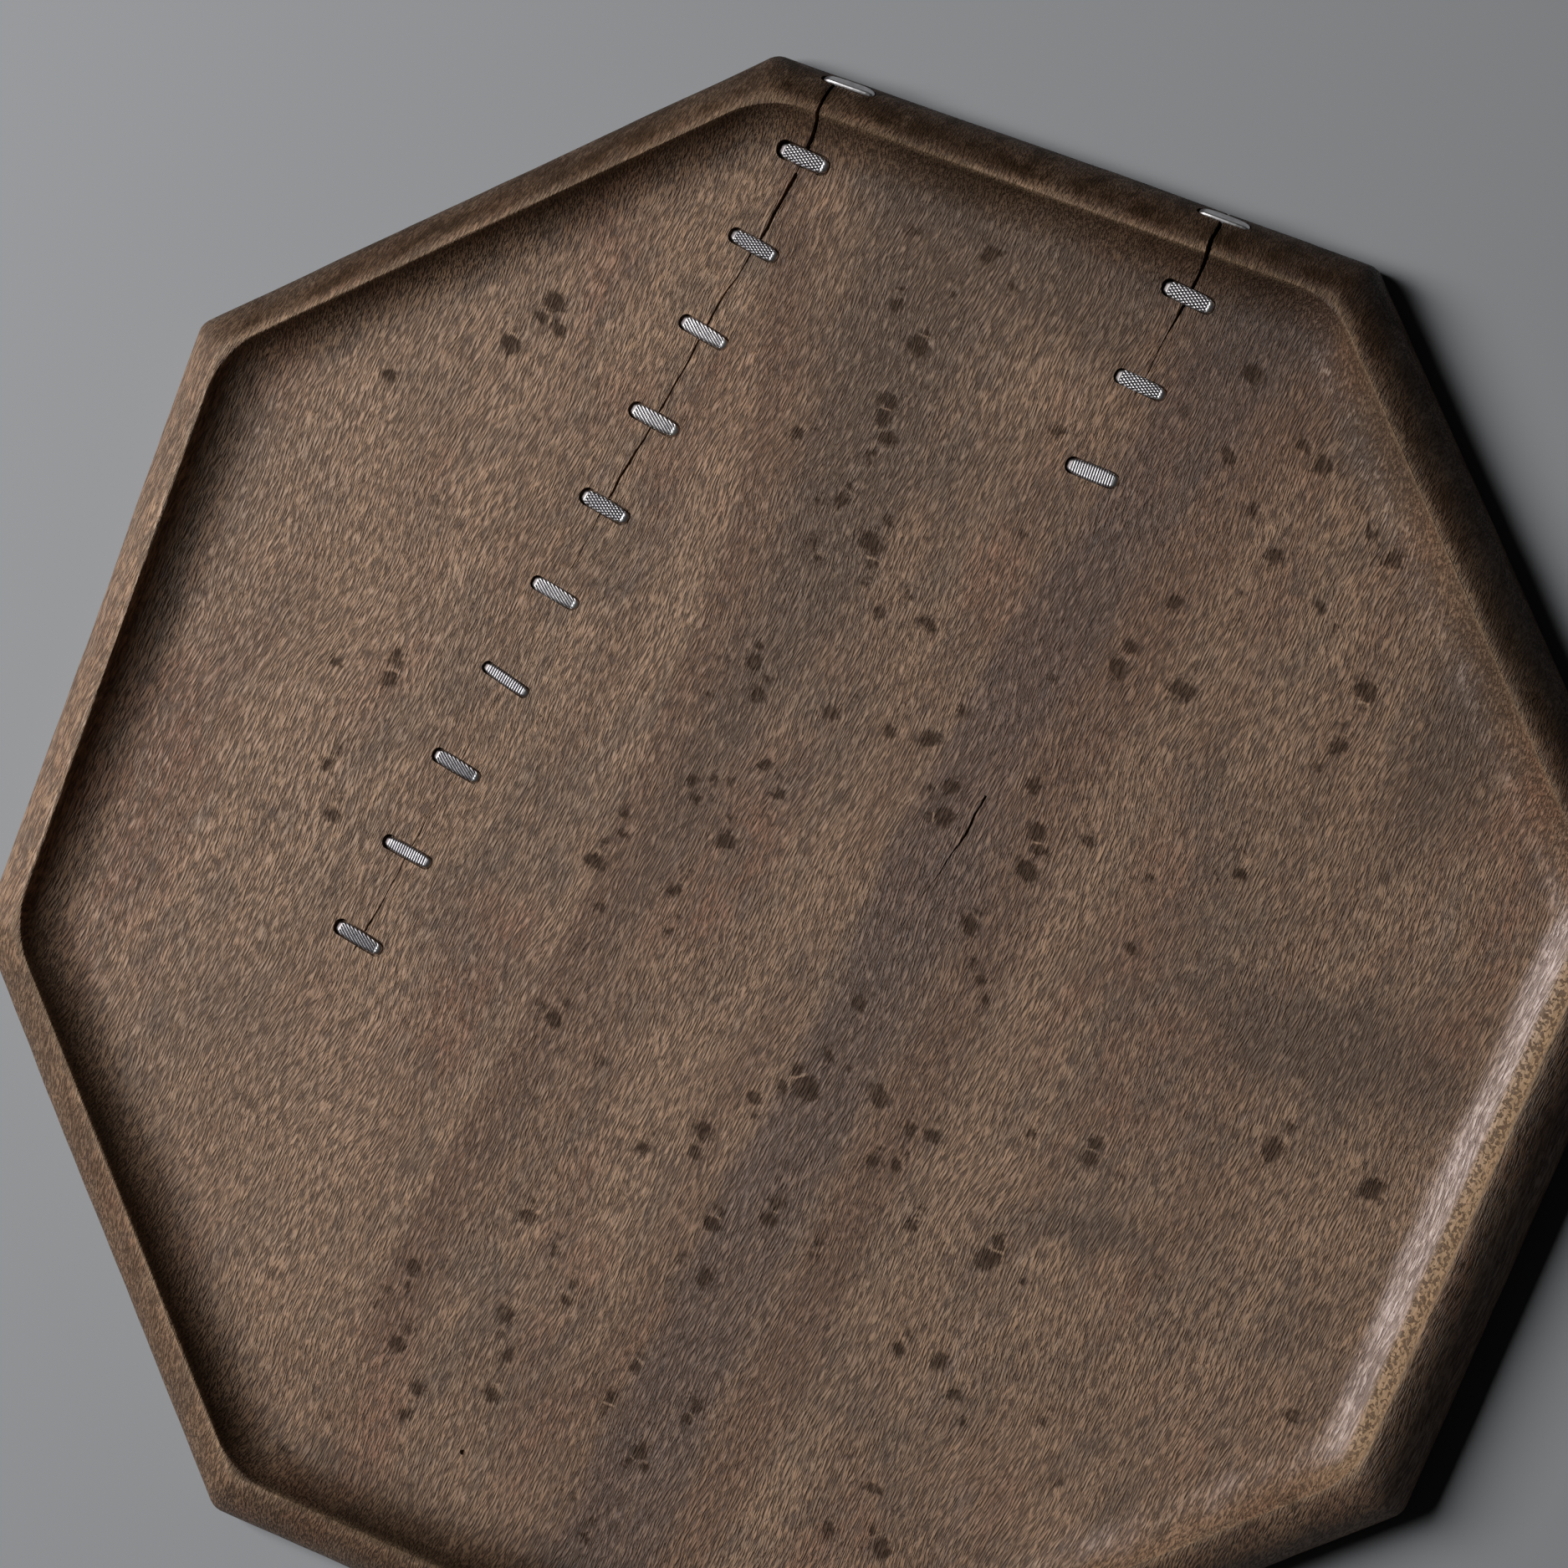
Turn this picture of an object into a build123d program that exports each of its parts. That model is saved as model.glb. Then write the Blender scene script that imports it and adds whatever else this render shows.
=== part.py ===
from build123d import *
import os
from math import atan2, cos, hypot, radians, sin

# A shallow eight-sided tray hollowed by hand from one board, with two drying cracks
# mended by silver staples. Millimetres, +Z up. The origin is on the flat base, at the
# middle of the tray's outer box.

# --- the board ---------------------------------------------------------------
# Corners of the widest outline, anticlockwise seen from above. The eight sides were
# planed by eye, so they differ by a few millimetres.
CORNERS = [
    (134.5, 139.0), (-2.0, 194.5), (-141.0, 137.5), (-195.5, -5.0),
    (-138.0, -140.0), (-5.5, -194.5), (135.5, -137.5), (195.5, -7.0),
]
HEIGHT = 20.0           # base to rim crest
CORNER_EASE = 1.5       # radius on the eight outer corners

# --- the rim's section -------------------------------------------------------
RIM_ROLL_RADIUS = 17.5  # the outer side rolls over in one arc
CREST_SLOPE = 20.0      # the roll's fall from level where it starts at the crest
BASE_EDGE_RADIUS = 3.5  # the outer side turns under to the base

# --- the hollow --------------------------------------------------------------
HOLLOW_DEPTH = 9.0
WALL_LEAN = 18.0        # inner wall's lean from upright
COVE_RADIUS = 12.5      # where the inner wall runs into the floor
HOLLOW_CORNER = 22.0    # corner radius of the hollow at the crest

# --- the cracks, as routes in plan from the rim inwards ----------------------
LONG_CRACK = [(17.5, 197.0), (9.7, 176.7), (-20.0, 127.5), (-53.0, 72.0), (-72.0, 41.0),
              (-103.0, -11.0)]
LONG_CRACK_MOUTH = 0.7
SHORT_CRACK = [(103.0, 157.0), (97.9, 141.6), (83.0, 116.0), (75.5, 102.0), (66.0, 83.0)]
SHORT_CRACK_MOUTH = 1.3
CRACK_TIP = 0.12        # width where a crack dies out

# --- the staples -------------------------------------------------------------
CROWN_LENGTH = 12.4
CROWN_PROUD = 0.6       # stands this far out of the wood
CROWN_SUNK = 0.7        # and is let in this far
CROWN_EASE = 0.35       # rounding of the crown's upper edge
LEG_THICKNESS = 1.3
LEG_WIDTH = 2.2
LEG_DEPTH = 7.0         # below the wood's surface
LEG_POINT = 0.5         # chamfer of the leg's tip
LEG_INSET = 0.35        # leg's outer face inside the crown's end
POCKET_GAP = 0.2        # slack round the crown, in its pocket

LONG_ROW_START = (4.9, 168.8)
LONG_ROW_HEADING = 239.0    # degrees from +X, from the rim into the tray
LONG_ROW_PITCH = 22.95
# Each staple of a row: its turn from square to the crack in degrees, and its width.
LONG_ROW = [(5, 3.8), (0, 3.4), (-1, 3.4), (1, 3.6), (0, 3.6), (0, 3.3), (-4, 2.7), (0, 3.2),
            (2, 3.0), (0, 3.3)]
SHORT_ROW_START = (92.7, 133.0)
SHORT_ROW_HEADING = 240.3
SHORT_ROW_PITCH = 22.4
SHORT_ROW = [(2, 3.8), (3, 3.6), (6, 3.8)]

# Rim staples: distance along the first side from its start, and the crown's width.
LONG_RIM_STAPLE = (127.1, 3.2)
SHORT_RIM_STAPLE = (35.1, 3.2)
RIM_STAPLE_SLOPE = 60.0     # the roll's slope where they are let in

RIM_WIDTH = RIM_ROLL_RADIUS * (1 - sin(radians(CREST_SLOPE)))
ROLL_DROP = RIM_ROLL_RADIUS * cos(radians(CREST_SLOPE))
FLOOR_Z = HEIGHT - HOLLOW_DEPTH
REACH = 500.0               # longer than the tray, for solids that only trim it
OVERRUN = 1.0               # how far a cutter runs past the board, above and below
STEEP = 0.5                 # an edge climbing more than this per millimetre is a corner's


def side(index):
    """Start, unit direction and length of one side, going anticlockwise."""
    (x0, y0), (x1, y1) = CORNERS[index], CORNERS[(index + 1) % len(CORNERS)]
    length = hypot(x1 - x0, y1 - y0)
    return (x0, y0), ((x1 - x0) / length, (y1 - y0) / length), length


def side_slab(index):
    """Everything inward of one side, with the rim's rolled section, far past both ends."""
    (x0, y0), (dx, dy), length = side(index)
    start = Vector(x0 - dx * REACH / 2, y0 - dy * REACH / 2, 0)
    section = Plane(origin=start, x_dir=(-dy, dx, 0), z_dir=(dx, dy, 0))
    widest_z = HEIGHT - ROLL_DROP
    roll_centre = (RIM_ROLL_RADIUS, widest_z)
    half = radians((90 + CREST_SLOPE) / 2)
    roll_middle = (roll_centre[0] - RIM_ROLL_RADIUS * sin(half),
                   roll_centre[1] + RIM_ROLL_RADIUS * cos(half))
    with BuildSketch(section) as outline:
        with BuildLine():
            l1 = Line((REACH, 0), (BASE_EDGE_RADIUS, 0))
            l2 = RadiusArc(l1 @ 1, (0, BASE_EDGE_RADIUS), BASE_EDGE_RADIUS)
            l3 = Line(l2 @ 1, (0, widest_z))
            l4 = ThreePointArc(l3 @ 1, roll_middle, (RIM_WIDTH, HEIGHT))
            Polyline(l4 @ 1, (REACH, HEIGHT), (REACH, 0))
        make_face()
    return extrude(outline.sketch, amount=REACH + length)


def blank():
    """The planed board, sharp at its corners: the common part of its eight side slabs."""
    board = side_slab(0)
    for index in range(1, len(CORNERS)):
        board = board & side_slab(index)
    return board


def hollow():
    """The wood taken out of the top: leaning walls that run into the floor in a cove."""
    outline = offset(Polygon(*CORNERS, align=None), -RIM_WIDTH, kind=Kind.INTERSECTION)
    outline = fillet(outline.vertices(), HOLLOW_CORNER)
    wood = extrude(Pos(0, 0, HEIGHT) * outline, amount=-HOLLOW_DEPTH, taper=WALL_LEAN)
    return fillet(wood.edges().group_by(Axis.Z)[0], COVE_RADIUS)


def crack(route, mouth):
    """A split right through the board, from its mouth at the rim to a fine tip."""
    left, right = [], []
    for i, (x, y) in enumerate(route):
        ahead, behind = route[min(i + 1, len(route) - 1)], route[max(i - 1, 0)]
        heading = atan2(ahead[1] - behind[1], ahead[0] - behind[0])
        half = (mouth + (CRACK_TIP - mouth) * i / (len(route) - 1)) / 2
        left.append((x - half * sin(heading), y + half * cos(heading)))
        right.append((x + half * sin(heading), y - half * cos(heading)))
    outline = Polygon(*right, *reversed(left), align=None)
    return extrude(Pos(0, 0, -OVERRUN) * outline, amount=HEIGHT + 2 * OVERRUN)


def crown(width, slack=0.0):
    """A staple's crown, lying along X, its middle on the wood's surface."""
    depth = CROWN_SUNK + CROWN_PROUD
    outline = SlotOverall(CROWN_LENGTH + 2 * slack, width + 2 * slack)
    return extrude(Pos(0, 0, -CROWN_SUNK) * outline, amount=depth)


def legs():
    """A staple's two legs, pointed at the tips."""
    length = LEG_DEPTH - CROWN_SUNK
    blank_leg = Pos(0, 0, -CROWN_SUNK - length / 2) * Box(LEG_THICKNESS, LEG_WIDTH, length)
    leg = chamfer(blank_leg.edges().group_by(Axis.Z)[0], LEG_POINT)
    out = CROWN_LENGTH / 2 - LEG_INSET - LEG_THICKNESS / 2
    return [Pos(-out, 0, 0) * leg, Pos(out, 0, 0) * leg]


def staple(width):
    top = crown(width)
    top = fillet(top.edges().group_by(Axis.Z)[-1], CROWN_EASE)
    for leg in legs():
        top = top + leg
    return top


def pocket(width):
    """The wood cut away for a staple: a bed with a little slack, and two tight leg holes."""
    bed = crown(width, POCKET_GAP)
    for leg in legs():
        bed = bed + leg
    return bed


def row_places(start, heading, pitch, row):
    """Where each staple of a row goes on the floor, and its width."""
    across = heading - 90
    for i, (turn, width) in enumerate(row):
        x = start[0] + i * pitch * cos(radians(heading))
        y = start[1] + i * pitch * sin(radians(heading))
        yield Pos(x, y, FLOOR_Z) * Rot(0, 0, across + turn), width


def rim_place(along):
    """Where a staple goes on the first side's roll, lying along the side."""
    (x0, y0), (dx, dy), _ = side(0)
    slope = radians(RIM_STAPLE_SLOPE)
    inward = RIM_ROLL_RADIUS * (1 - sin(slope))
    z = HEIGHT - ROLL_DROP + RIM_ROLL_RADIUS * cos(slope)
    spot = (x0 + dx * along - dy * inward, y0 + dy * along + dx * inward, z)
    outward = (dy * sin(slope), -dx * sin(slope), cos(slope))
    return Location(Plane(origin=spot, x_dir=(dx, dy, 0), z_dir=outward))


def all_staples():
    """Every staple: node name, place and width."""
    long_row = row_places(LONG_ROW_START, LONG_ROW_HEADING, LONG_ROW_PITCH, LONG_ROW)
    for number, (place, width) in enumerate(long_row, start=1):
        yield f"long_crack_staple_{number:02d}", place, width
    short_row = row_places(SHORT_ROW_START, SHORT_ROW_HEADING, SHORT_ROW_PITCH, SHORT_ROW)
    for number, (place, width) in enumerate(short_row, start=1):
        yield f"short_crack_staple_{number}", place, width
    for name, (along, width) in (("long_crack_rim_staple", LONG_RIM_STAPLE),
                                 ("short_crack_rim_staple", SHORT_RIM_STAPLE)):
        yield name, rim_place(along), width


def tray_body():
    body = blank()
    corners = body.edges().filter_by(lambda edge: abs(edge.tangent_at(0.5).Z) > STEEP)
    body = fillet(corners, CORNER_EASE)
    body = body - hollow()
    body = body - crack(LONG_CRACK, LONG_CRACK_MOUTH)
    body = body - crack(SHORT_CRACK, SHORT_CRACK_MOUTH)
    for _, place, width in all_staples():
        body = body - place * pocket(width)
    return body


def main():
    os.makedirs("parts", exist_ok=True)
    export_step(tray_body(), "parts/tray_body.step")
    for name, place, width in all_staples():
        export_step(place * staple(width), f"parts/{name}.step")
    print("rim width", round(RIM_WIDTH, 2), "roll drop", round(ROLL_DROP, 2))
    print("side lengths", [round(side(i)[2], 1) for i in range(len(CORNERS))])


main()
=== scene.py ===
# %% [markdown]
# # A hollowed eight-sided wooden tray, mended with silver staples
#
# The tray is one board of old figured wood. Its rim rolls over outside and its inside is
# cut 9 mm deep with a cove at the foot of the wall. Two drying cracks run in from the far
# rim along the grain. Fifteen silver staples bridge them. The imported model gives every
# place; this script gives each piece its hand-made surface.

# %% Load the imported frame
from math import atan2, cos, hypot, pi, radians, sin, tan

import bmesh
import bpy
import numpy as np
from mathutils import Matrix, Vector


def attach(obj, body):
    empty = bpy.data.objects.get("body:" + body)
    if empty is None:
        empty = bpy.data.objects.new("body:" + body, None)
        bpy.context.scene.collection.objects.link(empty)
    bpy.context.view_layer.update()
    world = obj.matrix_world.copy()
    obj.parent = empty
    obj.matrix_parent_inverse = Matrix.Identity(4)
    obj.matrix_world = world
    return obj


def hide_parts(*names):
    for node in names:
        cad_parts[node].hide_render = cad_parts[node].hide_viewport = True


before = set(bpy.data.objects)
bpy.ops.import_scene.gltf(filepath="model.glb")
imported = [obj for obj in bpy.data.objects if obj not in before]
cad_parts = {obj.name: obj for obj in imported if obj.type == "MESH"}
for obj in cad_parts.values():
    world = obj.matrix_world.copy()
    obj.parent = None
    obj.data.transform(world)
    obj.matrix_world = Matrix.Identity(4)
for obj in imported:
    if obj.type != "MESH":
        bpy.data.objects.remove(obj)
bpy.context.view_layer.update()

MM = 0.001

# %% [markdown]
# ## Working by hand in code
#
# Every piece starts as a primitive and is shaped in edit mode, as one would with the
# mouse. An operator works on what is selected, so the helpers below first clear the
# selection and then choose faces or edges by their place or normal.

# %% Selection helpers
LEVEL = 0.9     # a face lies level when its normal has more Z than this


def start_clean():
    """Leaves edit mode and deselects every object."""
    if bpy.context.object and bpy.context.object.mode != "OBJECT":
        bpy.ops.object.mode_set(mode="OBJECT")
    bpy.ops.object.select_all(action="DESELECT")


def only(piece):
    """Makes one piece the selected and active one."""
    start_clean()
    piece.select_set(True)
    bpy.context.view_layer.objects.active = piece


def edit(piece):
    only(piece)
    bpy.ops.object.mode_set(mode="EDIT")


def pick(kind, test):
    """In edit mode, selects just the verts, edges or faces that pass the test."""
    bpy.ops.mesh.select_mode(type=kind)
    bpy.ops.mesh.select_all(action="DESELECT")
    data = bpy.context.object.data
    mesh = bmesh.from_edit_mesh(data)
    items = {"VERT": mesh.verts, "EDGE": mesh.edges, "FACE": mesh.faces}[kind]
    chosen = [item for item in items if test(item)]
    for item in chosen:
        item.select_set(True)
    mesh.select_flush_mode()
    bmesh.update_edit_mesh(data)
    return len(chosen)


def modify(piece, kind, **settings):
    """Adds a modifier, sets it up and applies it."""
    only(piece)
    modifier = piece.modifiers.new(kind.lower(), kind)
    for name, value in settings.items():
        setattr(modifier, name, value)
    bpy.ops.object.modifier_apply(modifier=modifier.name)


def cut(piece, tool):
    """Takes the tool's shape out of the piece and throws the tool away."""
    modify(piece, "BOOLEAN", object=tool, operation="DIFFERENCE", solver="EXACT")
    bpy.data.objects.remove(tool)


def settle(piece):
    """Applies place, turn and size, so that the mesh holds them and the object none."""
    only(piece)
    bpy.ops.object.transform_apply(location=True, rotation=True, scale=True)


def bar(length, width, low, high, x=0.0):
    """A block along X, from low to high, its middle at x, all in mm."""
    start_clean()
    bpy.ops.mesh.primitive_cube_add(size=1, location=(x * MM, 0, (low + high) / 2 * MM),
                                    scale=(length * MM, width * MM, (high - low) * MM))
    piece = bpy.context.object
    settle(piece)
    return piece


# %% [markdown]
# ## The board's outline
#
# The eight sides were planed by eye, so each corner has its own place. A circle of eight
# points, filled with one face, is the quickest start: each point is moved to its corner.

# %% Eight corners, anticlockwise, at the widest line
CORNERS = [
    (134.5, 139.0), (-2.0, 194.5), (-141.0, 137.5), (-195.5, -5.0),
    (-138.0, -140.0), (-5.5, -194.5), (135.5, -137.5), (195.5, -7.0),
]
HEIGHT = 20.0
FLOOR_Z = 11.0
START_RADIUS = 195.0
SAME_WAY = 0.97     # cosine of the angle within which a point is a corner's


def eight_sided_face(name, height):
    """One level face with the tray's eight corners, at a height in millimetres."""
    start_clean()
    bpy.ops.mesh.primitive_circle_add(vertices=8, radius=START_RADIUS * MM, fill_type="NGON")
    piece = bpy.context.object
    piece.name = name
    edit(piece)
    for x, y in CORNERS:
        target = Vector((x * MM, y * MM))
        facing = target.normalized()
        pick("VERT", lambda v: v.co.xy.normalized().dot(facing) > SAME_WAY)
        mesh = bmesh.from_edit_mesh(piece.data)
        now = next(v.co for v in mesh.verts if v.select)
        move = (target.x - now.x, target.y - now.y, 0)
        bpy.ops.transform.translate(value=move)
    bpy.ops.mesh.select_all(action="SELECT")
    bpy.ops.transform.translate(value=(0, 0, height * MM))
    return piece


# %% [markdown]
# ## The rolled rim and the eased base
#
# The outer side is one soft roll from the crest down to the widest line, then it turns
# under to the flat base. Repeated insets follow such a section exactly: each one goes in
# by a little and up by a little, and keeps all eight sides parallel to the outline.

# %% The roll and the base edge as inset steps
RIM_ROLL_RADIUS = 17.5
CREST_SLOPE = radians(20)
BASE_EDGE_RADIUS = 3.5
RIM_WIDTH = RIM_ROLL_RADIUS * (1 - sin(CREST_SLOPE))
WIDEST_Z = HEIGHT - RIM_ROLL_RADIUS * cos(CREST_SLOPE)
ROLL_STEPS = 14
BASE_STEPS = 5


def inset_along(places):
    """Insets the selected face through places in mm: how far inward, how far out."""
    for (in0, up0), (in1, up1) in zip(places, places[1:]):
        bpy.ops.mesh.inset(thickness=(in1 - in0) * MM, depth=(up1 - up0) * MM)


tray = eight_sided_face("carved_tray", BASE_EDGE_RADIUS)
band = (0, 0, (WIDEST_Z - BASE_EDGE_RADIUS) * MM)
bpy.ops.mesh.extrude_region_move(TRANSFORM_OT_translate={"value": band})
bpy.ops.mesh.select_all(action="SELECT")
bpy.ops.mesh.normals_make_consistent(inside=False)
pick("FACE", lambda f: f.normal.z > LEVEL)
sweep = [i / ROLL_STEPS * (pi / 2 - CREST_SLOPE) for i in range(ROLL_STEPS + 1)]
inset_along([(RIM_ROLL_RADIUS * (1 - cos(a)), RIM_ROLL_RADIUS * sin(a)) for a in sweep])
pick("FACE", lambda f: f.normal.z < -LEVEL)
sweep = [i / BASE_STEPS * pi / 2 for i in range(BASE_STEPS + 1)]
inset_along([(BASE_EDGE_RADIUS * (1 - cos(a)), BASE_EDGE_RADIUS * sin(a)) for a in sweep])
print("rim width", round(RIM_WIDTH, 2), "mm, widest line at", round(WIDEST_Z, 2), "mm")

# %% Ease the eight corners and give the long faces points to bend at
CORNER_EASE = 1.6
SIDE_CUTS = 37
LONG = 60 * MM      # no mitre is this long, and every side is longer
mitres = pick("EDGE", lambda e: e.calc_length() < LONG)
bpy.ops.mesh.bevel(offset=CORNER_EASE * MM, segments=3, affect="EDGES")
sides = pick("EDGE", lambda e: e.calc_length() > LONG)
bpy.ops.mesh.subdivide(number_cuts=SIDE_CUTS)
print("eased", mitres, "mitre edges, cut", sides, "long edges")

# %% [markdown]
# ## The hollow
#
# On the real tray the inside was gouged out down to a level floor, with round corners and
# a cove. It could be inset straight into the board, but its corners are far rounder than
# the outline's, so a separate block of the missing wood is made and taken away.

# %% The missing wood as a block
WALL_LEAN = radians(18)
COVE_RADIUS = 12.5
HOLLOW_CORNER = 22.0
COVE_STEPS = 16
HALF_CORNER_TURN = radians(22.5)
ABOVE_BOARD = 3.0
ARRIS = [(-0.5, 0.28), (-0.1, 0.13), (0.2, -0.05), (0.36, -0.3)]

missing_wood = eight_sided_face("missing_wood", HEIGHT + ARRIS[0][1])
bpy.ops.mesh.inset(thickness=(RIM_WIDTH + ARRIS[0][0]) * MM, depth=0)
pick("FACE", lambda f: len(f.verts) == 4)
bpy.ops.mesh.delete(type="FACE")
pick("VERT", lambda v: True)
reach = HOLLOW_CORNER * tan(HALF_CORNER_TURN)
bpy.ops.mesh.bevel(offset=reach * MM, segments=8, affect="VERTICES")
pick("EDGE", lambda e: e.calc_length() > LONG)
bpy.ops.mesh.subdivide(number_cuts=SIDE_CUTS)
pick("FACE", lambda f: True)
bpy.ops.mesh.extrude_region_move(TRANSFORM_OT_translate={"value": (0, 0, ABOVE_BOARD * MM)})
bpy.ops.mesh.select_all(action="SELECT")
bpy.ops.mesh.normals_make_consistent(inside=False)
pick("FACE", lambda f: f.normal.z < -LEVEL)
foot = HEIGHT - FLOOR_Z - COVE_RADIUS * (1 - sin(WALL_LEAN))
sweep = [WALL_LEAN + i / COVE_STEPS * (pi / 2 - WALL_LEAN) for i in range(COVE_STEPS + 1)]
cove = [(ARRIS[-1][0] + COVE_RADIUS * (cos(WALL_LEAN) - cos(a)),
         foot + COVE_RADIUS * (sin(a) - sin(WALL_LEAN))) for a in sweep]
inset_along([(inward, -up) for inward, up in ARRIS] + cove[1:])
bpy.ops.object.mode_set(mode="OBJECT")
cut(tray, missing_wood)
print("hollowed tray:", len(tray.data.polygons), "faces")

# %% [markdown]
# ## The two cracks
#
# The board dried and split along the grain, from the far rim inwards. A crack is not a
# ruled line: it wanders with the fibres and narrows to nothing. A thin upright blade is
# extruded step by step along the route, a little to one side or the other each time, and
# then cut out of the board. It goes right through, so the gap is dark.

# %% Blades along the cracks
THROUGH = (-2, 24)          # from below the board to above it
SHIFT_KEPT = 0.6            # how much of the last sideways step the next one keeps
WIDTH_SPREAD = (0.75, 1.2)


def blade(name, route, mouth, tip, low, high, wander, step=3.5, seed=1, fall=1.0):
    """A thin upright closed strip along a route in mm, narrowing from mouth to tip."""
    rng = np.random.default_rng(seed)
    points = []
    for (x0, y0), (x1, y1) in zip(route, route[1:]):
        count = max(1, round(hypot(x1 - x0, y1 - y0) / step))
        points += [(x0 + (x1 - x0) * i / count, y0 + (y1 - y0) * i / count) for i in range(count)]
    points.append(route[-1])
    heading = atan2(route[-1][1] - route[0][1], route[-1][0] - route[0][0])
    aside = Vector((-sin(heading), cos(heading), 0))
    start_clean()
    bpy.ops.mesh.primitive_plane_add(size=1, location=(0, 0, 0))
    piece = bpy.context.object
    piece.name = name
    piece.scale = (mouth * MM, (high - low) * MM, 1)
    piece.rotation_euler = (pi / 2, 0, heading + pi / 2)
    piece.location = (points[0][0] * MM, points[0][1] * MM, (low + high) / 2 * MM)
    settle(piece)
    edit(piece)
    bpy.ops.mesh.select_all(action="SELECT")
    shift = 0.0
    here = Vector((*points[0], 0))
    width = mouth
    for i, (x, y) in enumerate(points[1:], start=1):
        shift = SHIFT_KEPT * shift + rng.normal(0, wander)
        there = Vector((x, y, 0)) + aside * shift
        bpy.ops.mesh.extrude_region_move(TRANSFORM_OT_translate={"value": (there - here) * MM})
        left_to_go = (1 - i / (len(points) - 1)) ** fall
        wanted = (tip + (mouth - tip) * left_to_go) * rng.uniform(*WIDTH_SPREAD)
        size = wanted / width
        middle = (there.x * MM, there.y * MM, (low + high) / 2 * MM)
        bpy.ops.transform.resize(value=(size, size, 1), center_override=middle)
        here, width = there, wanted
    bpy.ops.mesh.select_all(action="SELECT")
    bpy.ops.mesh.normals_make_consistent(inside=False)
    bpy.ops.object.mode_set(mode="OBJECT")
    return piece


LONG_CRACK = [(17.5, 197.0), (9.7, 176.7), (5.9, 170.5), (-5.7, 150.5), (-17.1, 132.5),
              (-51.1, 75.5), (-71.8, 40.8), (-88.3, 13.1), (-98.0, -2.5), (-103.0, -11.0)]
SHORT_CRACK = [(103.0, 157.0), (97.9, 141.6), (95.0, 137.3), (87.9, 124.9), (83.2, 116.0),
               (75.7, 102.1), (66.0, 83.0)]
cut(tray, blade("long_gap", LONG_CRACK, 0.8, 0.10, *THROUGH, 0.16, seed=3, fall=2.2))
cut(tray, blade("short_gap", SHORT_CRACK, 1.3, 0.10, *THROUGH, 0.22, seed=5, fall=1.5))
print("split tray:", len(tray.data.polygons), "faces")

# %% Torn fibres beside the short crack's mouth, a fine check and a pin hole
TORN_FIBRE = [(99.6, 146.5), (97.2, 140.2), (95.9, 137.8)]
FINE_CHECK = [(45.6, 22.0), (40.6, 13.0), (34.8, 4.7), (28.6, -3.5), (26.5, -8.0)]
FAINT_CHECK = [(27.5, -17.0), (25.0, -21.5), (22.5, -27.0)]
PIN_HOLE = (-77.0, -126.0, 13.0)
PIN_HOLE_RADIUS = 0.6
PIN_HOLE_LENGTH = 6.0
cut(tray, blade("torn_fibre", TORN_FIBRE, 0.7, 0.1, 10, 24, 0.1, step=1.2, seed=8))
cut(tray, blade("fine_check", FINE_CHECK, 0.8, 0.1, 7, 13, 0.12, step=2.5, seed=9))
cut(tray, blade("faint_check", FAINT_CHECK, 0.35, 0.1, 9, 13, 0.1, step=1.5, seed=10))
start_clean()
bpy.ops.mesh.primitive_cylinder_add(vertices=16, radius=PIN_HOLE_RADIUS * MM,
                                    depth=PIN_HOLE_LENGTH * MM, location=Vector(PIN_HOLE) * MM)
pin_hole = bpy.context.object
settle(pin_hole)
cut(tray, pin_hole)
print("checked tray:", len(tray.data.polygons), "faces")

# %% [markdown]
# ## Where the staples lie
#
# Each staple lies square across its crack, with its middle on the wood. The two rows keep
# an even pitch, and two more staples lie along the rim's outer roll, over each crack's
# mouth. A place is a matrix that carries a staple modelled along X at the origin.

# %% Staple places: each staple's turn in degrees, width in mm, hammer work and dullness
CROWN_LENGTH = 12.4
LONG_ROW = [
    (5, 3.8, "crossed", 0.3), (0, 3.4, "crossed", 0.35), (-1, 3.4, "slanted", 0.0),
    (1, 3.6, "slanted", 0.0), (0, 3.6, "crossed", 0.4), (0, 3.3, "slanted", 0.05),
    (-4, 2.7, "ribbed", 0.6), (0, 3.2, "slanted", 0.45), (2, 3.0, "ribbed", 0.6),
    (0, 3.3, "slanted", 0.5),
]
SHORT_ROW = [(2, 3.8, "crossed", 0.1), (3, 3.6, "crossed", 0.1), (6, 3.8, "ribbed", 0.45)]
RIM_STAPLE = (3.2, "plain", 0.3)
RIM_SLOPE = radians(60)


def row(prefix, digits, start, heading, pitch, staples):
    """Name, place and make of each staple of a row, from the rim inwards."""
    for i, (turn, *make) in enumerate(staples):
        x = start[0] + i * pitch * cos(radians(heading))
        y = start[1] + i * pitch * sin(radians(heading))
        place = Matrix.Translation((x * MM, y * MM, FLOOR_Z * MM))
        place @= Matrix.Rotation(radians(heading - 90 + turn), 4, "Z")
        yield f"{prefix}_{i + 1:0{digits}d}", place, *make


def on_rim(along):
    """A place on the first side's roll, lying along that side."""
    (x0, y0), (x1, y1) = CORNERS[0], CORNERS[1]
    side = Vector((x1 - x0, y1 - y0, 0)).normalized()
    inward = RIM_ROLL_RADIUS * (1 - sin(RIM_SLOPE))
    z = WIDEST_Z + RIM_ROLL_RADIUS * cos(RIM_SLOPE)
    spot = Vector((x0 - side.y * inward, y0 + side.x * inward, z)) + side * along
    out = Vector((side.y * sin(RIM_SLOPE), -side.x * sin(RIM_SLOPE), cos(RIM_SLOPE)))
    turn = Matrix((side, out.cross(side), out)).transposed().to_4x4()
    return Matrix.Translation(spot * MM) @ turn


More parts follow.
